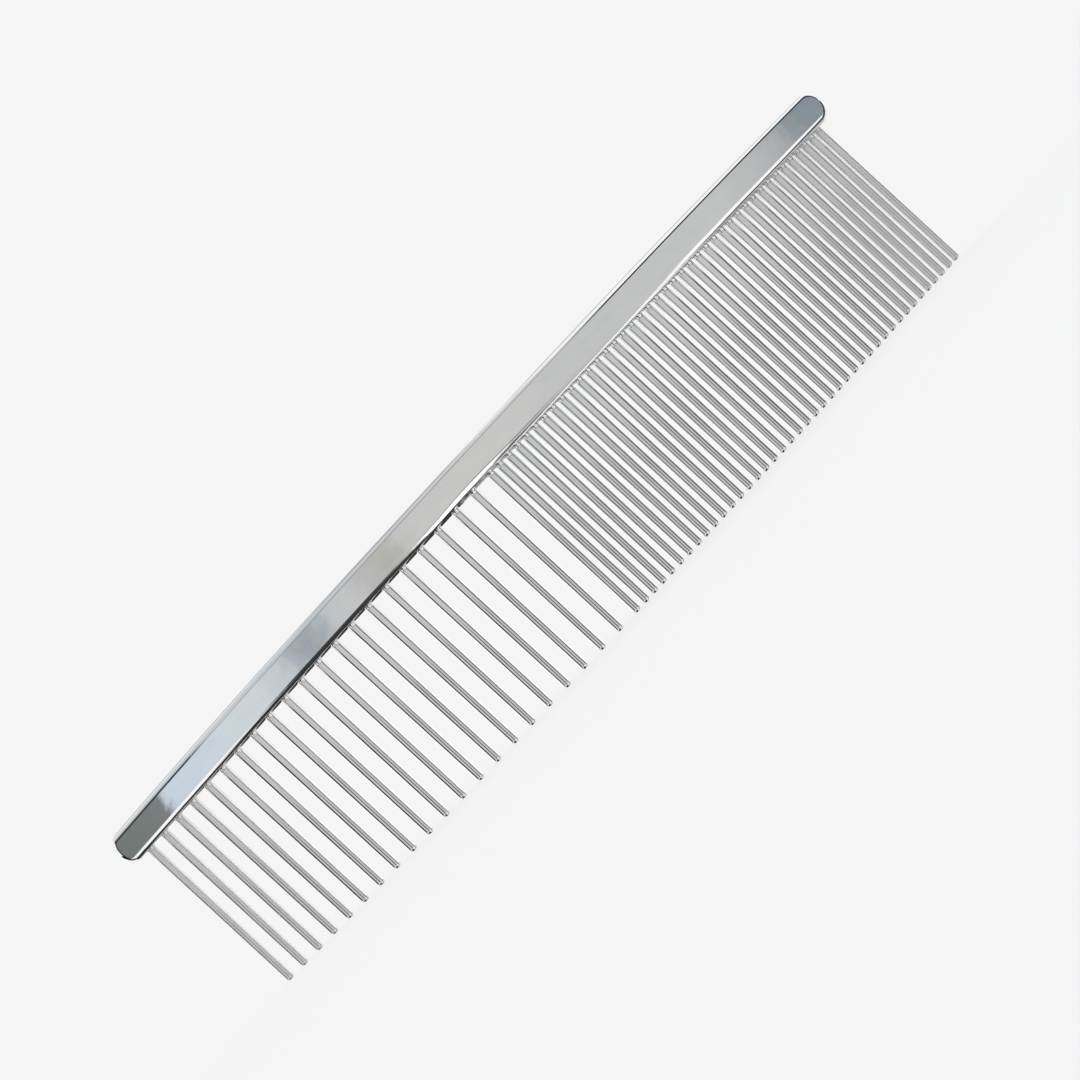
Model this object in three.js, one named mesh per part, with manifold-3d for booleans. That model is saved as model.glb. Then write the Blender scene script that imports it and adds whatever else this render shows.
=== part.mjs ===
// Steel grooming comb: a curved spine bar with a coarse and a fine rank of round steel teeth under it.
// Millimetres. The comb stands on its tooth tips at z = 0, +X runs from the coarse end to the fine end,
// and the convex front of the spine faces -Y.
import * as THREE from "three";
import { mergeVertices } from "three/addons/utils/BufferGeometryUtils.js";
import Module from "manifold-3d";

// Tooth ranks. Every tooth stands on a slot of one even division of the arc.
const FINE_PITCH = 2.5; // arc length from slot to slot
const COARSE_TEETH = 21;
const COARSE_STEP = 2; // slots from one coarse tooth to the next
const FINE_TEETH = 41;
const FINE_PAIRS = 3; // neighbouring fine teeth at the fine end that share a root block
const ARC_RADIUS = 262.5; // in plan, of the line through the tooth centres

// Teeth: slightly tapered round pins that flare out against the spine, with a shank in a blind bore.
const TOOTH_LENGTH = 39; // spine underside to tip
const TOOTH_ROOT_RADIUS = 0.94;
const TOOTH_TIP_RADIUS = 0.84;
const TIP_FLAT_RADIUS = 0.28;
const TIP_ROUND_HEIGHT = 0.6;
const FLARE_RADIUS = 0.25; // hollow rounding between the tooth and the underside
const SEAT_GAP = 0.05; // between the flare and the underside
const SHANK_RADIUS = 0.7;
const SHANK_DEPTH = 3.2;
const BORE_CLEARANCE = 0.1;
const BLOCK_HALF_WIDTH = 0.35; // of the block that joins the shanks of a pair
const TOOTH_SIDES = 10;
const ROUND_STEPS = 2; // facets in the tip's and the flare's rounding

// Spine: a flat bar on edge, with rounded edges and half-round ends.
const SPINE_HEIGHT = 7.2;
const SPINE_THICKNESS = 5;
const SPINE_EDGE_RADIUS = 1.25;
const COARSE_OVERHANG = 5.7; // first coarse tooth's centre to that end of the bar
const FINE_OVERHANG = 4.9; // last fine tooth's centre to that end of the bar
const SPINE_STEPS = 42; // straight facets along the arc
const END_STEPS = 5; // facets in a quarter of a half-round end
const EDGE_STEPS = 3; // facets in a rounded edge

// Blind hole in the back of the coarse end.
const HOLE_RADIUS = 1.4;
const HOLE_DEPTH = 1.8;
const HOLE_FROM_END = 3.2;
const HOLE_SIDES = 16;

const CUT_PAST = 1; // how far a cutter runs past the surface that it opens
const MERGE_DISTANCE = 1e-4;

const FIRST_FINE_SLOT = COARSE_TEETH * COARSE_STEP;
const LAST_SLOT = FIRST_FINE_SLOT + FINE_TEETH - 1;
const SPINE_START = slotAlong(0) - COARSE_OVERHANG;
const SPINE_END = slotAlong(LAST_SLOT) + FINE_OVERHANG;
const SPINE_MIDDLE_Z = TOOTH_LENGTH + SPINE_HEIGHT / 2;
const QUARTER_TURN = Math.PI / 2;

const wasm = await Module();
wasm.setup();

// A closed three.js geometry as a solid that can be joined and cut.
function solidFrom(geometry) {
  geometry.deleteAttribute("normal");
  geometry.deleteAttribute("uv");
  const merged = mergeVertices(geometry, MERGE_DISTANCE);
  const vertProperties = merged.getAttribute("position").array;
  const triVerts = new Uint32Array(merged.index.array);
  return new wasm.Manifold(new wasm.Mesh({ numProp: 3, vertProperties, triVerts }));
}

function geometryFrom(solid) {
  const mesh = solid.getMesh();
  const geometry = new THREE.BufferGeometry();
  geometry.setAttribute("position", new THREE.BufferAttribute(mesh.vertProperties, 3));
  geometry.setIndex(new THREE.BufferAttribute(mesh.triVerts, 1));
  geometry.computeVertexNormals();
  return geometry;
}

// A point of the bent bar: distance along the arc, distance behind the tooth line, and height.
function onArc(along, behind, z) {
  const angle = along / ARC_RADIUS;
  const radius = ARC_RADIUS - behind;
  return new THREE.Vector3(radius * Math.sin(angle), ARC_RADIUS - radius * Math.cos(angle), z);
}

function slotAlong(slot) {
  return (slot - LAST_SLOT / 2) * FINE_PITCH;
}

// The turn and shift that bring an upright shape at the origin to a place on the arc.
function placeOnArc(along, behind = 0, z = 0) {
  const turn = new THREE.Matrix4().makeRotationZ(along / ARC_RADIUS);
  return turn.setPosition(onArc(along, behind, z));
}

// Quarter circle from (0, 0) to (1, 1) that starts along the first coordinate, without its first point.
function quarterRound(steps) {
  const points = [];
  for (let i = 1; i <= steps; i++) {
    const turn = (i / steps) * QUARTER_TURN;
    points.push([Math.sin(turn), 1 - Math.cos(turn)]);
  }
  return points;
}

// Profile of a whole tooth on its own axis, from the flat of the tip up to the end of the shank.
function toothProfile() {
  const points = [new THREE.Vector2(0, 0), new THREE.Vector2(TIP_FLAT_RADIUS, 0)];
  const tipReach = TOOTH_TIP_RADIUS - TIP_FLAT_RADIUS;
  for (const [out, up] of quarterRound(ROUND_STEPS)) {
    points.push(new THREE.Vector2(TIP_FLAT_RADIUS + tipReach * out, TIP_ROUND_HEIGHT * up));
  }
  const seat = TOOTH_LENGTH - SEAT_GAP;
  for (const [up, out] of [[0, 0], ...quarterRound(ROUND_STEPS)]) {
    const radius = TOOTH_ROOT_RADIUS + FLARE_RADIUS * out;
    points.push(new THREE.Vector2(radius, seat - FLARE_RADIUS * (1 - up)));
  }
  points.push(new THREE.Vector2(SHANK_RADIUS, seat));
  points.push(new THREE.Vector2(SHANK_RADIUS, TOOTH_LENGTH + SHANK_DEPTH));
  points.push(new THREE.Vector2(0, TOOTH_LENGTH + SHANK_DEPTH));
  return points;
}

function toothGeometry() {
  return new THREE.LatheGeometry(toothProfile(), TOOTH_SIDES).rotateX(QUARTER_TURN);
}

// An upright many-sided rod from z = bottom to z = top, its sides lined up with the teeth's.
function rodGeometry(radius, sides, bottom, top) {
  const profile = [[0, bottom], [radius, bottom], [radius, top], [0, top]];
  const points = profile.map(([r, z]) => new THREE.Vector2(r, z));
  return new THREE.LatheGeometry(points, sides).rotateX(QUARTER_TURN);
}

// The block that joins the shanks of two neighbouring teeth inside the spine.
function rootBlock(halfWidth, bottom, top) {
  const block = new THREE.BoxGeometry(FINE_PITCH, 2 * halfWidth, top - bottom);
  return solidFrom(block.translate(0, 0, (top + bottom) / 2));
}

// Two neighbouring fine teeth that share one root block, about the point midway between them.
function toothPairGeometry() {
  const left = solidFrom(toothGeometry().translate(-FINE_PITCH / 2, 0, 0));
  const right = solidFrom(toothGeometry().translate(FINE_PITCH / 2, 0, 0));
  const block = rootBlock(BLOCK_HALF_WIDTH, TOOTH_LENGTH + BORE_CLEARANCE, TOOTH_LENGTH + SHANK_DEPTH);
  return geometryFrom(left.add(right).add(block));
}

// What is cut from the underside of the spine for one tooth, or for a pair with its block.
function rootCutter(slots) {
  const bottom = TOOTH_LENGTH - CUT_PAST;
  const top = TOOTH_LENGTH + SHANK_DEPTH + BORE_CLEARANCE;
  const middle = (slots[0] + slots[slots.length - 1]) / 2;
  let cutter = null;
  for (const slot of slots) {
    const bore = rodGeometry(SHANK_RADIUS + BORE_CLEARANCE, TOOTH_SIDES, bottom, top);
    const solid = solidFrom(bore.translate((slot - middle) * FINE_PITCH, 0, 0));
    cutter = cutter ? cutter.add(solid) : solid;
  }
  if (slots.length > 1) cutter = cutter.add(rootBlock(BLOCK_HALF_WIDTH + BORE_CLEARANCE, bottom, top));
  return cutter.transform(placeOnArc(slotAlong(middle)).toArray());
}

// Upper half of the spine's front outline, drawn in by an inset, from one end to the other:
// pairs of distance along the arc and height above the bar's middle.
function upperOutline(inset) {
  const radius = SPINE_HEIGHT / 2 - inset;
  const first = SPINE_START + SPINE_HEIGHT / 2;
  const last = SPINE_END - SPINE_HEIGHT / 2;
  const end = [];
  for (let i = 0; i < END_STEPS; i++) {
    const turn = (i / END_STEPS) * QUARTER_TURN;
    end.push([radius * Math.cos(turn), radius * Math.sin(turn)]);
  }
  const points = end.map(([reach, up]) => [first - reach, up]);
  for (let i = 0; i <= SPINE_STEPS; i++) {
    points.push([first + ((last - first) * i) / SPINE_STEPS, radius]);
  }
  return points.concat(end.reverse().map(([reach, up]) => [last + reach, up]));
}

// The rings of the spine from front face to back face, as inset and distance behind the tooth line.
function spineRings() {
  const face = SPINE_THICKNESS / 2;
  const front = [[0, 0], ...quarterRound(EDGE_STEPS)].map(([out, back]) => [
    SPINE_EDGE_RADIUS * (1 - out),
    SPINE_EDGE_RADIUS * back - face,
  ]);
  const back = front.map(([inset, behind]) => [inset, -behind]).reverse();
  return front.concat(back);
}

// The solid bar before any hole is made: rings of one point count, closed by a ruled face front and back.
function barSolid() {
  const rings = spineRings();
  const positions = [];
  let count = 0;
  for (const [inset, behind] of rings) {
    const upper = upperOutline(inset);
    const lower = upper.slice(1, -1).reverse().map(([along, up]) => [along, -up]);
    const loop = upper.concat(lower);
    count = loop.length;
    for (const [along, up] of loop) {
      positions.push(...onArc(along, behind, SPINE_MIDDLE_Z + up).toArray());
    }
  }
  const index = [];
  for (let ring = 0; ring + 1 < rings.length; ring++) {
    for (let i = 0; i < count; i++) {
      const a = ring * count + i;
      const b = ring * count + ((i + 1) % count);
      index.push(a, b, a + count, b, b + count, a + count);
    }
  }
  const columns = count / 2;
  const backStart = (rings.length - 1) * count;
  for (let i = 0; i < columns; i++) {
    const lowerHere = (count - i) % count;
    const lowerNext = count - i - 1;
    if (i > 0) {
      index.push(i, lowerHere, i + 1);
      index.push(backStart + i, backStart + i + 1, backStart + lowerHere);
    }
    if (i + 1 < columns) {
      index.push(lowerHere, lowerNext, i + 1);
      index.push(backStart + lowerHere, backStart + i + 1, backStart + lowerNext);
    }
  }
  const geometry = new THREE.BufferGeometry();
  geometry.setAttribute("position", new THREE.Float32BufferAttribute(positions, 3));
  geometry.setIndex(index);
  return solidFrom(geometry);
}

function backHoleCutter() {
  const rod = rodGeometry(HOLE_RADIUS, HOLE_SIDES, -HOLE_DEPTH, CUT_PAST).rotateX(-QUARTER_TURN);
  const place = placeOnArc(SPINE_START + HOLE_FROM_END, SPINE_THICKNESS / 2, SPINE_MIDDLE_Z);
  return solidFrom(rod).transform(place.toArray());
}

function spineGeometry(toothNodes) {
  let spine = barSolid();
  for (const { slots } of toothNodes) spine = spine.subtract(rootCutter(slots));
  return geometryFrom(spine.subtract(backHoleCutter()));
}

function numbered(name, ...numbers) {
  return [name, ...numbers.map((n) => String(n).padStart(2, "0"))].join("_");
}

// Every tooth node in order from the coarse end, with the slots of the teeth that it holds.
function listToothNodes() {
  const nodes = [];
  for (let i = 0; i < COARSE_TEETH; i++) {
    nodes.push({ name: numbered("coarse_tooth", i + 1), slots: [i * COARSE_STEP] });
  }
  const singles = FINE_TEETH - 2 * FINE_PAIRS;
  for (let i = 0; i < singles; i++) {
    nodes.push({ name: numbered("fine_tooth", i + 1), slots: [FIRST_FINE_SLOT + i] });
  }
  for (let i = singles; i < FINE_TEETH; i += 2) {
    const slots = [FIRST_FINE_SLOT + i, FIRST_FINE_SLOT + i + 1];
    nodes.push({ name: numbered("fine_tooth_pair", i + 1, i + 2), slots });
  }
  return nodes;
}

function polishedSteel() {
  return new THREE.MeshStandardMaterial({ color: 0xc6cace, metalness: 1, roughness: 0.14 });
}

function drawnSteel() {
  return new THREE.MeshStandardMaterial({ color: 0xd2d3d2, metalness: 1, roughness: 0.26 });
}

function makeComb() {
  const comb = new THREE.Group();
  const toothNodes = listToothNodes();
  const spine = new THREE.Mesh(spineGeometry(toothNodes), polishedSteel());
  spine.name = "spine";
  comb.add(spine);
  for (const { name, slots } of toothNodes) {
    const geometry = slots.length > 1 ? toothPairGeometry() : toothGeometry();
    const tooth = new THREE.Mesh(geometry, drawnSteel());
    const along = slotAlong((slots[0] + slots[slots.length - 1]) / 2);
    tooth.name = name;
    tooth.position.copy(onArc(along, 0, 0));
    tooth.rotation.z = along / ARC_RADIUS;
    comb.add(tooth);
  }
  // The origin is under the middle of the whole comb, so the group is moved by the centre of its own box.
  const centre = new THREE.Box3().setFromObject(comb).getCenter(new THREE.Vector3());
  comb.position.set(-centre.x, -centre.y, 0);
  return comb;
}

export default makeComb();
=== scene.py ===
"""A polished steel grooming comb standing on its tooth tips. Metres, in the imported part's frame."""
import math
import random

import bpy
from mathutils import Matrix, Vector


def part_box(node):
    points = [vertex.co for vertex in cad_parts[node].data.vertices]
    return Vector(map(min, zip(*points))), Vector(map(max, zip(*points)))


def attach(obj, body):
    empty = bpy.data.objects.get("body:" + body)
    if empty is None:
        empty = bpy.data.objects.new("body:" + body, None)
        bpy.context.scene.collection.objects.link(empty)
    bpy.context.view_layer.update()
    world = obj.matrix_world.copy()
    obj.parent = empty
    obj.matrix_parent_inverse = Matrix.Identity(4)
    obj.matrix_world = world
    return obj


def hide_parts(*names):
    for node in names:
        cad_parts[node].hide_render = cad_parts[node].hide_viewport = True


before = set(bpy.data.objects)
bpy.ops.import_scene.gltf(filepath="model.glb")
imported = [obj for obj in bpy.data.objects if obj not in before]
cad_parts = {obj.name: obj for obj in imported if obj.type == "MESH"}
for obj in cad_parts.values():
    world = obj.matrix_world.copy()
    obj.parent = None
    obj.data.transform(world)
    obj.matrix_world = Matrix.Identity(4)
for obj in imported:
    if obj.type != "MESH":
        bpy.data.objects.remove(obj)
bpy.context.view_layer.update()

MM = 0.001
ROOT = "root"

# The bent bar. The teeth stand on an even division of its arc, the coarse ones on every second place, and it
# goes on past the last ones.
ARC_RADIUS = 262.5 * MM
SPINE_THICKNESS = 5 * MM
FINE_PITCH = 2.5 * MM
SLOTS = 83
COARSE_OVERHANG = 5.93 * MM
FINE_OVERHANG = 4.82 * MM

# The blind hole in its back, with a broken edge. Its wall stops a little short of its depth, and its shallow
# drill point goes a little past.
HOLE_RADIUS = 1.4 * MM
HOLE_DEPTH = 1.8 * MM
HOLE_FROM_END = 3.2 * MM
HOLE_BROKEN_EDGE = 0.15 * MM
HOLE_WALL_SHORT, HOLE_POINT_PAST = 0.4 * MM, 0.3 * MM

# One tooth, and the bore that its shank sits in.
TOOTH_ROOT_RADIUS = 0.94 * MM
TOOTH_TIP_RADIUS = 0.84 * MM
TIP_FLAT_RADIUS = 0.24 * MM
TIP_ROUND_HEIGHT = 0.62 * MM
FLARE_RADIUS = 0.25 * MM
GROOVE_DEPTH = 0.07 * MM
GROOVE_HEIGHT = 0.5 * MM
SHANK_RADIUS = 0.7 * MM
SHANK_DEPTH = 3.2 * MM
BORE_CLEARANCE = 0.1 * MM

# Leans, in degrees: each tooth a little at random, and the coarse ones also toward the middle of the comb,
# fully so from this far out. The lift keeps the tip of a leaning tooth above the floor.
RANDOM_LEAN = 0.12
COARSE_LEAN, COARSE_LEAN_LENGTH = 0.35, 30 * MM
TIP_LIFT = 0.012 * MM

# How finely the pieces are divided, how near a supporting ring is, how far each cutter goes on outside the
# bar, and how sharp an edge stays an edge.
STATION = 1 * MM
END_STEPS = 20
EDGE_STEPS = 10
SUPPORT = 0.04 * MM
TOOTH_SIDES = 32
ROUND_STEPS = 7
GROOVE_STEPS = 10
HOLE_SIDES, HOLE_CUTTER_PAST = 48, 0.5 * MM
BORE_SIDES, BORE_CUTTER_PAST = 20, 0.3 * MM
SHARP_DEGREES = 40

SPINE_LOW, SPINE_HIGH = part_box("spine")
SPINE_HEIGHT = SPINE_HIGH.z - SPINE_LOW.z
SPINE_MIDDLE_Z = (SPINE_HIGH.z + SPINE_LOW.z) / 2
TOOTH_LENGTH = SPINE_LOW.z
TOOTH_LINE_Y = SPINE_LOW.y + SPINE_THICKNESS / 2
MIDDLE_X = sum(corner.x for node in ("coarse_tooth_21", "fine_tooth_01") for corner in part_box(node)) / 4
TEETH_LENGTH = (SLOTS - 1) * FINE_PITCH
SPINE_START = -TEETH_LENGTH / 2 - COARSE_OVERHANG
SPINE_END = TEETH_LENGTH / 2 + FINE_OVERHANG
QUARTER = math.pi / 2

# The hand-ground edge rounding, at the coarse end, the middle and the fine end, what the end caps add to it,
# and what the worn place near the middle of the lower edge adds.
UPPER_EDGE = (1.4 * MM, 1.2 * MM, 0.9 * MM)
LOWER_EDGE = (1.25 * MM, 1.15 * MM, 1.25 * MM)
CAP_EDGE_MORE = (0.7 * MM, 0.0, 0.0)
WORN_EDGE, WORN_PLACE, WORN_LENGTH = 0.4 * MM, -2 * MM, 9 * MM


# ---------------------------------------------------------------- shapes

def on_arc(along, behind, z):
    """A point of the bent bar: distance along the arc, distance behind the tooth line, and height."""
    angle = along / ARC_RADIUS
    radius = ARC_RADIUS - behind
    y = TOOTH_LINE_Y + ARC_RADIUS - radius * math.cos(angle)
    return Vector((MIDDLE_X + radius * math.sin(angle), y, z))


def quarter_round(steps):
    """A quarter circle from (0, 0) to (1, 1) that starts along the first coordinate."""
    turns = [i / steps * QUARTER for i in range(steps + 1)]
    return [(math.sin(t), 1 - math.cos(t)) for t in turns]


def new_object(name, vertices, faces):
    mesh = bpy.data.meshes.new(name)
    mesh.from_pydata(vertices, [], faces)
    mesh.validate()
    mesh.update()
    made = bpy.data.objects.new(name, mesh)
    bpy.context.scene.collection.objects.link(made)
    return made


def shade(obj):
    for polygon in obj.data.polygons:
        polygon.use_smooth = True
    obj.data.set_sharp_from_angle(angle=math.radians(SHARP_DEGREES))


def lathe(profile, sides):
    """Vertices and faces of a profile of (radius, z) turned about Z. It starts and ends on the axis."""
    vertices = [(0, 0, profile[0][1])]
    for radius, z in profile[1:-1]:
        for i in range(sides):
            turn = 2 * math.pi * i / sides
            vertices.append((radius * math.cos(turn), radius * math.sin(turn), z))
    vertices.append((0, 0, profile[-1][1]))
    rings = len(profile) - 2
    last = len(vertices) - 1
    faces = []
    for i in range(sides):
        j = (i + 1) % sides
        faces.append((0, 1 + j, 1 + i))
        for ring in range(rings - 1):
            a, b = 1 + ring * sides + i, 1 + ring * sides + j
            faces.append((a, b, b + sides, a + sides))
        top = 1 + (rings - 1) * sides
        faces.append((last, top + i, top + j))
    return vertices, faces


def edge_radius(along, up):
    """Edge rounding at a point of the outline: its upper and lower values, blended along and up the bar."""
    place = 2 * (along - SPINE_START) / (SPINE_END - SPINE_START) - 1
    end, middle = (2 if place > 0 else 0), 1
    share = (1 - math.cos(math.pi * abs(place))) / 2
    upper = UPPER_EDGE[middle] + (UPPER_EDGE[end] - UPPER_EDGE[middle]) * share
    lower = LOWER_EDGE[middle] + (LOWER_EDGE[end] - LOWER_EDGE[middle]) * share
    height = (1 + up / (SPINE_HEIGHT / 2)) / 2
    more = CAP_EDGE_MORE[end] * share * (1 - (2 * height - 1) ** 2)
    worn = WORN_EDGE * math.exp(-((along - WORN_PLACE) / WORN_LENGTH) ** 2) * (1 - height)
    return lower + (upper - lower) * height + more + worn


def bar_outline():
    """The bar's outline seen from in front, from the coarse end over the top and back along the bottom.

    Each point is (distance along the bar of its centre, direction from that centre). The count is of the
    points from end to end over the top."""
    radius = SPINE_HEIGHT / 2
    first, last = SPINE_START + radius, SPINE_END - radius
    turns = [i / END_STEPS * QUARTER for i in range(END_STEPS)]
    stations = round((last - first) / STATION)
    upper = [(first, math.pi - t) for t in turns]
    upper += [(first + (last - first) * i / stations, QUARTER) for i in range(stations + 1)]
    upper += [(last, t) for t in reversed(turns)]
    lower = [(centre, -turn) for centre, turn in upper[1:-1][::-1]]
    return upper + lower, len(upper)


def bar_rings():
    """Rings from the front face to the back face, with one beside each rounding's start and end.

    Each is ((share of the edge radius drawn in, share of it set back from the face, extra drawn in, extra set
    back), -1 for the front half or 1 for the back half)."""
    front = [(1, 0, SUPPORT, 0)]
    front += [(1 - out, back, 0, 0) for out, back in quarter_round(EDGE_STEPS)]
    front.append((0, 1, 0, SUPPORT))
    return [(ring, -1) for ring in front] + [(ring, 1) for ring in reversed(front)]


def make_bar():
    """The spine as a smooth bent bar. Its UV map holds millimetres along it and round its section."""
    outline, columns = bar_outline()
    count = len(outline)
    rings = bar_rings()
    vertices, flat = [], []
    for (inset_share, back_share, inset_more, back_more), side in rings:
        for centre, turn in outline:
            rim = Vector((math.cos(turn), math.sin(turn))) * SPINE_HEIGHT / 2
            edge = edge_radius(centre + rim.x, rim.y)
            place = rim * (1 - (edge * inset_share + inset_more) / rim.length)
            behind = side * (SPINE_THICKNESS / 2 - edge * back_share - back_more)
            along, up = centre + place.x, place.y
            vertices.append(on_arc(along, behind, SPINE_MIDDLE_Z + up))
            flat.append((along / MM, (up - behind) / MM))
    faces = []
    for ring in range(len(rings) - 1):
        for i in range(count):
            a, b = ring * count + i, ring * count + (i + 1) % count
            faces.append((a, b, b + count, a + count))
    back = (len(rings) - 1) * count
    for i in range(columns - 1):
        corners = [i, (count - i) % count, count - i - 1, i + 1]
        corners = [c for place, c in enumerate(corners) if c not in corners[:place]]
        faces.append(tuple(corners))
        faces.append(tuple(back + c for c in reversed(corners)))
    bar = new_object("spine_bar", vertices, faces)
    layer = bar.data.uv_layers.new(name="along_and_round")
    for loop in bar.data.loops:
        layer.data[loop.index].uv = flat[loop.vertex_index]
    return bar


def cut(target, cutter):
    """Subtracts one object from another and removes the cutter."""
    modifier = target.modifiers.new("cut", "BOOLEAN")
    modifier.operation = "DIFFERENCE"
    modifier.solver = "EXACT"
    modifier.object = cutter
    bpy.context.view_layer.update()
    mesh = bpy.data.meshes.new_from_object(target.evaluated_get(bpy.context.evaluated_depsgraph_get()))
    target.modifiers.clear()
    target.data = mesh
    bpy.data.objects.remove(cutter)


def arc_matrix(along, behind=0.0, z=0.0):
    return Matrix.Translation(on_arc(along, behind, z)) @ Matrix.Rotation(along / ARC_RADIUS, 4, "Z")


def drill_back_hole(bar):
    """The blind hole in the back of the coarse end, with a broken edge and a drill point."""
    mouth_radius = HOLE_RADIUS + HOLE_BROKEN_EDGE
    profile = [(0, -HOLE_DEPTH - HOLE_POINT_PAST), (HOLE_RADIUS, -HOLE_DEPTH + HOLE_WALL_SHORT),
               (HOLE_RADIUS, -HOLE_BROKEN_EDGE), (mouth_radius, 0), (mouth_radius, HOLE_CUTTER_PAST),
               (0, HOLE_CUTTER_PAST)]
    cutter = new_object("hole_cutter", *lathe(profile, HOLE_SIDES))
    place = arc_matrix(SPINE_START + HOLE_FROM_END, SPINE_THICKNESS / 2, SPINE_MIDDLE_Z)
    cutter.data.transform(place @ Matrix.Rotation(-QUARTER, 4, "X"))
    cut(bar, cutter)


def drill_bores(bar, places):
    """The blind bores in the underside that the tooth shanks sit in."""
    radius, depth = SHANK_RADIUS + BORE_CLEARANCE, SHANK_DEPTH + BORE_CLEARANCE
    profile = [(0, -BORE_CUTTER_PAST), (radius, -BORE_CUTTER_PAST), (radius, depth), (0, depth)]
    bore, bore_faces = lathe(profile, BORE_SIDES)
    vertices, faces = [], []
    for along in places:
        start = len(vertices)
        place = arc_matrix(along, 0, TOOTH_LENGTH)
        vertices += [place @ Vector(v) for v in bore]
        faces += [tuple(start + i for i in face) for face in bore_faces]
    cut(bar, new_object("bore_cutter", vertices, faces))


def tooth_mesh():
    """One tooth about its own axis: blunt round tip, slightly tapered body, groove, flare and shank."""
    profile = [(0, 0)]
    for out, up in quarter_round(ROUND_STEPS):
        profile.append((TIP_FLAT_RADIUS + (TOOTH_TIP_RADIUS - TIP_FLAT_RADIUS) * out, TIP_ROUND_HEIGHT * up))
    flare_start = TOOTH_LENGTH - FLARE_RADIUS
    body_end = flare_start - GROOVE_HEIGHT
    profile += [(TOOTH_TIP_RADIUS, TIP_ROUND_HEIGHT + SUPPORT), (TOOTH_ROOT_RADIUS, body_end - SUPPORT)]
    profile += [(TOOTH_ROOT_RADIUS - GROOVE_DEPTH * math.sin(math.pi * i / GROOVE_STEPS) ** 2,
                 body_end + GROOVE_HEIGHT * i / GROOVE_STEPS) for i in range(GROOVE_STEPS)]
    for up, out in quarter_round(ROUND_STEPS):
        profile.append((TOOTH_ROOT_RADIUS + FLARE_RADIUS * out, flare_start + FLARE_RADIUS * up))
    profile += [(SHANK_RADIUS, TOOTH_LENGTH), (SHANK_RADIUS, TOOTH_LENGTH + SHANK_DEPTH),
                (0, TOOTH_LENGTH + SHANK_DEPTH)]
    return lathe(profile, TOOTH_SIDES)


def tooth_places():
    """(piece name, CAD node, distance along the arc) of every tooth, from the coarse end.

    A CAD node with two numbers in its name holds two teeth."""
    places = []
    middle = Vector((MIDDLE_X, TOOTH_LINE_Y + ARC_RADIUS, 0))
    for node in sorted(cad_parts):
        if node == "spine":
            continue
        low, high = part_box(node)
        centre = (low + high) / 2 - middle
        along = math.atan2(centre.x, -centre.y) * ARC_RADIUS
        rank, numbers = node.split("_tooth_")
        numbers = numbers.replace("pair_", "").split("_")
        for i, number in enumerate(numbers):
            shift = (i - (len(numbers) - 1) / 2) * FINE_PITCH
            places.append((f"{rank}_pin_{number}", node, along + shift))
    return sorted(places, key=lambda place: place[2])


# ---------------------------------------------------------------- materials

# The duller teeth: how far out along X they start, where they are fully so, and how metallic they are there.
DULL_FROM, DULL_FULLY, DULL_METALLIC = 65 * MM, 100 * MM, 0.5


def nodes_of(owner):
    owner.use_nodes = True
    owner.node_tree.nodes.clear()
    return owner.node_tree


def add(tree, kind, settings=None, **inputs):
    """A node with its settings, and its inputs set to values or linked to sockets. _0 is its first input."""
    node = tree.nodes.new(kind)
    for key, value in (settings or {}).items():
        setattr(node, key, value)
    for key, value in inputs.items():
        socket = node.inputs[int(key[1:]) if key[1:].isdigit() else key.replace("_", " ")]
        if isinstance(value, bpy.types.NodeSocket):
            tree.links.new(value, socket)
        else:
            socket.default_value = value
    return node


def maths(tree, operation, first, second=0.0, third=0.0):
    """The result of one Math node."""
    return add(tree, "ShaderNodeMath", {"operation": operation}, _0=first, _1=second, _2=third).outputs[0]


def ramp(tree, factor, stops):
    """A colour ramp from [(position, grey or colour), ...]."""
    node = add(tree, "ShaderNodeValToRGB", None, Fac=factor)
    elements = node.color_ramp.elements
    while len(elements) < len(stops):
        elements.new(0.5)
    for element, (position, _) in zip(elements, stops):
        element.position = position
    for element, (_, colour) in zip(elements, stops):
        red, green, blue = colour if isinstance(colour, tuple) else (colour,) * 3
        element.color = (red, green, blue, 1)
    return node.outputs["Color"]


def mixed(tree, share, first, second):
    """The second colour over the first one by a share."""
    node = add(tree, "ShaderNodeMix", {"data_type": "RGBA"}, _0=share, _6=first, _7=second)
    return node.outputs[2]


def between(tree, value, low, high, at_low=0.0, at_high=1.0):
    """Smooth step of a value from one range to another."""
    settings = {"interpolation_type": "SMOOTHSTEP"}
    node = add(tree, "ShaderNodeMapRange", settings, _0=value, _1=low, _2=high, _3=at_low, _4=at_high)
    return node.outputs[0]


def stretched_noise(tree, vector, scale, detail=3.0, roughness=0.5):
    """Noise of a different scale along each axis of a vector."""
    mapped = add(tree, "ShaderNodeMapping", None, Vector=vector, Scale=scale).outputs[0]
    noise = add(tree, "ShaderNodeTexNoise", None, Vector=mapped, Scale=1.0, Detail=detail,
                Roughness=roughness)
    return noise.outputs["Fac"]


def bumps(tree, *layers):
    """The normal after one or more (height, distance) layers of relief."""
    under = {}
    for height, distance in layers:
        node = add(tree, "ShaderNodeBump", None, Height=height, Distance=distance, Strength=1.0, **under)
        under = {"Normal": node.outputs[0]}
    return under["Normal"]


def finish_steel(tree, colour, roughness, normal, metallic=1.0):
    """The steel's shader from its worked-out inputs, joined to the material's output."""
    shader = add(tree, "ShaderNodeBsdfPrincipled", None, Metallic=metallic, Base_Color=colour,
                 Roughness=roughness, Normal=normal)
    add(tree, "ShaderNodeOutputMaterial", None, Surface=shader.outputs[0])


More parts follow.
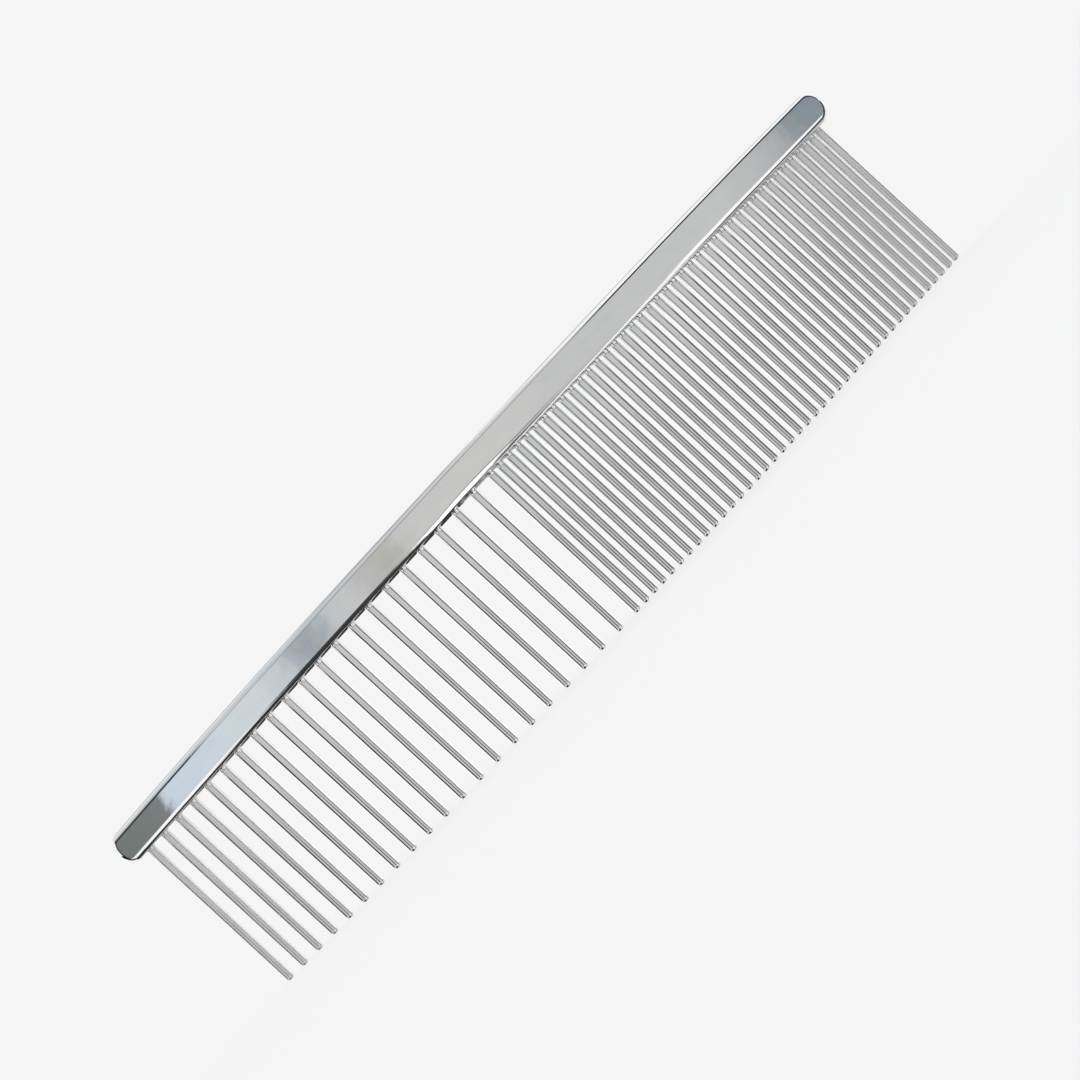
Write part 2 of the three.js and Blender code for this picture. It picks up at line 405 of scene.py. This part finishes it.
def make_spine_steel():
    """Mirror-polished bar: slow waviness, lengthwise polishing lines, a fine grain and faint smears.

    The scales of its noises are per millimetre, along the bar and round its section."""
    material = bpy.data.materials.new("polished_spine_steel")
    tree = nodes_of(material)
    flat = add(tree, "ShaderNodeUVMap", {"uv_map": "along_and_round"}).outputs[0]
    wave = stretched_noise(tree, flat, (0.16, 0.22, 1), 2.0)
    lines = stretched_noise(tree, flat, (0.35, 22.0, 1), 5.0, 0.65)
    grain = stretched_noise(tree, flat, (4.0, 4.0, 1), 3.0, 0.7)
    smear = stretched_noise(tree, flat, (0.12, 0.45, 1), 4.0, 0.6)
    mottle = maths(tree, "MULTIPLY_ADD", maths(tree, "SUBTRACT", grain, 0.5), 0.9, smear)
    colour = ramp(tree, mottle, [(0.3, (0.835, 0.842, 0.848)), (0.7, (0.9, 0.9, 0.896))])
    haze = between(tree, smear, 0.35, 0.75, 0.03, 0.07)
    scored = between(tree, lines, 0.55, 0.8, 0.0, 0.04)
    roughness = maths(tree, "ADD", haze, scored)
    normal = bumps(tree, (wave, 0.05 * MM), (lines, 0.0004 * MM), (grain, 0.0012 * MM))
    finish_steel(tree, colour, roughness, normal)
    return material


def make_tooth_steel():
    """Round wire: slow waves and drawing marks along it, and a duller, paler look near the comb's two ends.

    The scales of its noises are per metre, and each tooth has its own part of them."""
    material = bpy.data.materials.new("drawn_tooth_steel")
    tree = nodes_of(material)
    place = add(tree, "ShaderNodeTexCoord").outputs["Object"]
    tooth = add(tree, "ShaderNodeObjectInfo").outputs
    luck = tooth["Random"]
    shift = add(tree, "ShaderNodeCombineXYZ", None, X=luck, Y=luck, Z=luck).outputs[0]
    own = add(tree, "ShaderNodeVectorMath", {"operation": "ADD"}, _0=place, _1=shift).outputs[0]
    wave = stretched_noise(tree, own, (1300, 1300, 90), 1.0)
    drawn = stretched_noise(tree, own, (4000, 4000, 150), 2.0, 0.6)
    patch = stretched_noise(tree, own, (900, 900, 160), 3.0)
    colour = ramp(tree, patch, [(0.3, (0.86, 0.86, 0.858)), (0.7, (0.92, 0.92, 0.917))])
    haze = between(tree, patch, 0.3, 0.75, 0.02, 0.05)
    scored = between(tree, drawn, 0.5, 0.8, 0.0, 0.06)
    roughness = maths(tree, "ADD", haze, scored)
    x = add(tree, "ShaderNodeSeparateXYZ", None, _0=tooth["Location"]).outputs["X"]
    metallic = between(tree, maths(tree, "ABSOLUTE", x), DULL_FROM, DULL_FULLY, 1.0, DULL_METALLIC)
    finish_steel(tree, colour, roughness, bumps(tree, (wave, 0.02 * MM)), metallic)
    return material


# ---------------------------------------------------------------- surroundings

# The even ground that the camera sees, and the wide floor that matches it.
BACKGROUND = 0.913
FLOOR_HALF = 6.0
FLOOR_GREY = 0.3
FLOOR_GLOW = 0.689

# The camera, from the middle of the tooth line on the floor, and its turn in degrees.
CAMERA_LENS, SENSOR_WIDTH = 59.36, 36
CAMERA_ASIDE, CAMERA_AWAY, CAMERA_HEIGHT = -5.14 * MM, 343.3 * MM, 18.1 * MM
CAMERA_TURN = (91.263, 47.198, 0.149)
NEAREST, FARTHEST = 0.01, 50

# The camera and whoever holds it, as a dark spot that the steel sees: its middle, and how far from there it
# starts and ends fading, sideways and up, in degrees.
SPOT_ANGLE, SPOT_ELEVATION = 2, -3
SPOT_FADE_ASIDE, SPOT_FADE_UP = (7, 15), (3, 5)
SPOT_SHARE, SPOT_GREY = 0.95, 0.04

# Behind the comb and above it, the studio is the same on the left and the right: bright, with a grey screen.
BEHIND_LEFT = [(-178, 1.0), (-173, 1.0), (-169, 0.80), (-165, 0.40), (-156, 0.40), (-146, 1.0)]
BEHIND_RIGHT = [(-angle, grey) for angle, grey in reversed(BEHIND_LEFT)]

# What the steel sees of the studio: rows from straight down to overhead. Each row fades in over a range of
# elevation, and gives brightness by the angle from straight in front of the comb, in degrees to its right.
STUDIO = [
    # Straight down: dark on the left, pale on the right.
    (None, [
        (-178, 0.04), (-6, 0.04), (6, 0.35), (20, 0.45), (28, 1.1), (150, 1.0), (165, 0.40), (178, 0.30),
    ]),
    # Steeply down: dark on the left, a bright gap in front, a bright and a dark panel on the right.
    ((-66, -62), [
        (-178, 0.04), (-60, 0.03), (-11, 0.05), (-7, 1.3), (0, 1.3), (4, 0.10), (14, 0.12), (24, 0.50),
        (34, 0.60), (38, 1.1), (58, 1.1), (64, 0.05), (86, 0.06), (96, 0.55), (150, 0.60), (178, 0.35),
    ]),
    # Less steeply: bright panels behind too, and a bright and a dark one on the left.
    ((-46, -42), [
        (-178, 0.04), (-156, 0.04), (-150, 0.95), (-106, 1.0), (-98, 0.05), (-76, 0.05), (-70, 1.05),
        (-54, 1.1), (-49, 0.04), (-12, 0.05), (-8, 1.4), (2, 1.4), (6, 0.15), (13, 0.50), (34, 0.62),
        (38, 1.1), (64, 1.1), (70, 0.06), (94, 0.06), (104, 0.95), (150, 0.85), (178, 0.45),
    ]),
    # Nearer to level: the same panels, with the bright one on the left wider.
    ((-32, -28), [
        (-178, 0.04), (-164, 0.04), (-159, 0.85), (-106, 1.0), (-98, 0.06), (-76, 0.06), (-69, 1.05),
        (-42, 1.1), (-36, 0.45), (-32, 0.05), (-17, 0.06), (-12, 0.30), (-9, 1.3), (3, 1.2), (7, 0.55),
        (34, 0.62), (38, 1.1), (64, 1.1), (70, 0.06), (94, 0.06), (104, 0.95), (150, 0.80), (178, 0.45),
    ]),
    # Level with the teeth: soft greys in front, a dark screen at each side and bright panels behind.
    ((-5.5, -4), [
        (-178, 0.04), (-170, 0.04), (-166, 1.3), (-116, 1.3), (-110, 0.02), (-66, 0.02), (-64, 0.22),
        (-54, 0.24), (-52, 0.70), (-34, 0.70), (-27, 0.48), (-20, 0.63), (-14, 0.52), (-9, 0.64),
        (16, 0.62), (44, 0.61), (57, 0.42), (66, 0.29), (68, 0.03), (98, 0.03), (103, 1.2), (120, 1.3),
        (155, 1.3), (165, 0.70), (178, 0.50),
    ]),
    # Level with the spine: the same with narrower screens, and a blue window in front on the left.
    ((2.6, 2.9), [
        (-178, 0.50), (-150, 0.85), (-120, 1.1), (-82, 1.0), (-78, 0.02), (-66.5, 0.02),
        (-65.5, (0.18, 0.20, 0.195)), (-53.4, (0.22, 0.24, 0.235)), (-52.4, (0.64, 0.74, 0.84)),
        (-45, (0.66, 0.75, 0.83)), (-36, (0.70, 0.75, 0.77)), (-31, (0.60, 0.66, 0.70)),
        (-27.5, (0.36, 0.41, 0.45)), (-25.5, (0.38, 0.43, 0.46)), (-22.5, (0.58, 0.62, 0.64)),
        (-19.5, 0.64), (-16.5, (0.55, 0.55, 0.54)), (-12, (0.50, 0.50, 0.47)), (-9.5, (0.64, 0.64, 0.63)),
        (8, (0.65, 0.65, 0.64)), (16, (0.61, 0.62, 0.61)), (44, (0.61, 0.62, 0.61)),
        (53, (0.51, 0.52, 0.535)), (57, (0.41, 0.42, 0.43)), (58, (0.28, 0.33, 0.37)),
        (66, (0.25, 0.30, 0.34)), (67.5, 0.03), (78, 0.03), (82, 1.0), (120, 1.1), (150, 0.85), (178, 0.50),
    ]),
    # Just above it: duller in front, with a dark screen at each side.
    ((5.5, 8), BEHIND_LEFT + [
        (-85, 1.0), (-79, 0.05), (-48, 0.06), (-44, 0.50), (-34, 0.50), (-30, 0.38), (20, 0.42), (26, 0.03),
        (90, 0.03), (97, 1.0),
    ] + BEHIND_RIGHT),
    # Higher up: a soft panel in front between the dark screens.
    ((20, 23), BEHIND_LEFT + [
        (-98, 1.0), (-92, 0.10), (-52, 0.10), (-46, (0.62, 0.68, 0.73)), (-30, (0.60, 0.65, 0.69)),
        (-12, 0.62), (20, 0.70), (28, 0.03), (92, 0.03), (98, 1.0),
    ] + BEHIND_RIGHT),
    # The panels overhead: bluish on the left, bright on the right.
    ((30, 33), BEHIND_LEFT + [
        (-130, 0.85), (-98, 0.85), (-88, (0.63, 0.69, 0.74)), (-30, (0.61, 0.66, 0.71)),
        (-14, (0.64, 0.67, 0.69)), (18, 0.73), (26, 1.05), (92, 1.05),
    ] + BEHIND_RIGHT),
    # Straight above: dull on the left, bright on the right.
    ((70, 76), [(-178, 0.45), (8, 0.50), (25, 0.95), (165, 0.95), (178, 0.50)]),
]


def studio_spot(tree, value, middle, fade, share=1.0):
    """The dark spot's share by one of its two directions, in radians. Its middle and fade are in degrees."""
    away = maths(tree, "ABSOLUTE", maths(tree, "SUBTRACT", value, math.radians(middle)))
    return between(tree, away, math.radians(fade[0]), math.radians(fade[1]), share, 0.0)


def make_studio():
    """Pale studio: the camera sees an even ground, and the steel sees soft panels and dark screens."""
    world = bpy.data.worlds.new("studio")
    bpy.context.scene.world = world
    tree = nodes_of(world)
    direction = add(tree, "ShaderNodeTexCoord").outputs["Generated"]
    x, y, z = add(tree, "ShaderNodeSeparateXYZ", None, Vector=direction).outputs
    angle = maths(tree, "ARCTAN2", x, maths(tree, "MULTIPLY", y, -1.0))
    share_of_turn = maths(tree, "MULTIPLY_ADD", angle, 1 / (2 * math.pi), 0.5)
    elevation = maths(tree, "ARCSINE", z)
    colour = None
    for fade, stops in STUDIO:
        row = ramp(tree, share_of_turn, [(degrees / 360 + 0.5, seen) for degrees, seen in stops])
        if fade is None:
            colour = row
            continue
        share = between(tree, elevation, math.radians(fade[0]), math.radians(fade[1]))
        colour = mixed(tree, share, colour, row)
    spot = maths(tree, "MULTIPLY", studio_spot(tree, angle, SPOT_ANGLE, SPOT_FADE_ASIDE),
                 studio_spot(tree, elevation, SPOT_ELEVATION, SPOT_FADE_UP, SPOT_SHARE))
    colour = mixed(tree, spot, colour, (SPOT_GREY, SPOT_GREY, SPOT_GREY, 1))
    by_camera = add(tree, "ShaderNodeLightPath").outputs["Is Camera Ray"]
    shown = mixed(tree, by_camera, colour, (BACKGROUND, BACKGROUND, BACKGROUND, 1))
    background = add(tree, "ShaderNodeBackground", None, Color=shown, Strength=1.0)
    add(tree, "ShaderNodeOutputWorld", None, Surface=background.outputs[0])


def make_floor():
    """A wide plain pale floor under the tips. It glows a little, so it matches the ground behind the comb."""
    half = FLOOR_HALF
    corners = [(-half, -half, 0), (half, -half, 0), (half, half, 0), (-half, half, 0)]
    floor = new_object("floor", corners, [(0, 1, 2, 3)])
    material = bpy.data.materials.new("pale_floor")
    tree = nodes_of(material)
    matte = add(tree, "ShaderNodeBsdfDiffuse", None, Color=(FLOOR_GREY, FLOOR_GREY, FLOOR_GREY, 1)).outputs[0]
    glow = add(tree, "ShaderNodeEmission", None, Color=(1, 1, 1, 1), Strength=FLOOR_GLOW).outputs[0]
    both = add(tree, "ShaderNodeAddShader", None, _0=matte, _1=glow).outputs[0]
    add(tree, "ShaderNodeOutputMaterial", None, Surface=both)
    floor.data.materials.append(material)
    floor.visible_glossy = False
    floor.visible_diffuse = False


def make_camera():
    """In front of the comb, level with about the middle of its teeth, and turned: it runs up to the right."""
    data = bpy.data.cameras.new("camera")
    data.lens, data.sensor_width = CAMERA_LENS, SENSOR_WIDTH
    data.clip_start, data.clip_end = NEAREST, FARTHEST
    camera = bpy.data.objects.new("camera", data)
    bpy.context.scene.collection.objects.link(camera)
    camera.location = (MIDDLE_X + CAMERA_ASIDE, TOOTH_LINE_Y - CAMERA_AWAY, CAMERA_HEIGHT)
    camera.rotation_euler = [math.radians(turn) for turn in CAMERA_TURN]
    bpy.context.scene.camera = camera


# ---------------------------------------------------------------- the comb

def make_comb():
    places = tooth_places()
    spine_steel, tooth_steel = make_spine_steel(), make_tooth_steel()
    bar = make_bar()
    drill_back_hole(bar)
    drill_bores(bar, [along for _, _, along in places])
    shade(bar)
    bar.data.materials.clear()
    bar.data.materials.append(spine_steel)
    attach(bar, ROOT)
    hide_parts("spine")

    luck = random.Random(7)
    vertices, faces = tooth_mesh()
    to_root = Matrix.Translation((0, 0, TOOTH_LENGTH + TIP_LIFT))
    from_root = Matrix.Translation((0, 0, -TOOTH_LENGTH))
    for name, node, along in places:
        tooth = new_object(name, vertices, faces)
        shade(tooth)
        tooth.data.materials.append(tooth_steel)
        bent = COARSE_LEAN * max(0.0, min(1.0, -along / COARSE_LEAN_LENGTH))
        lean = Matrix.Rotation(math.radians(luck.uniform(-RANDOM_LEAN, RANDOM_LEAN) - bent), 4, "Y")
        lean = lean @ Matrix.Rotation(math.radians(luck.uniform(-RANDOM_LEAN, RANDOM_LEAN)), 4, "X")
        tooth.matrix_world = arc_matrix(along) @ to_root @ lean @ from_root
        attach(tooth, ROOT)
        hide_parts(node)


bpy.context.scene.view_settings.view_transform = "Standard"
make_camera()
make_studio()
make_floor()
make_comb()
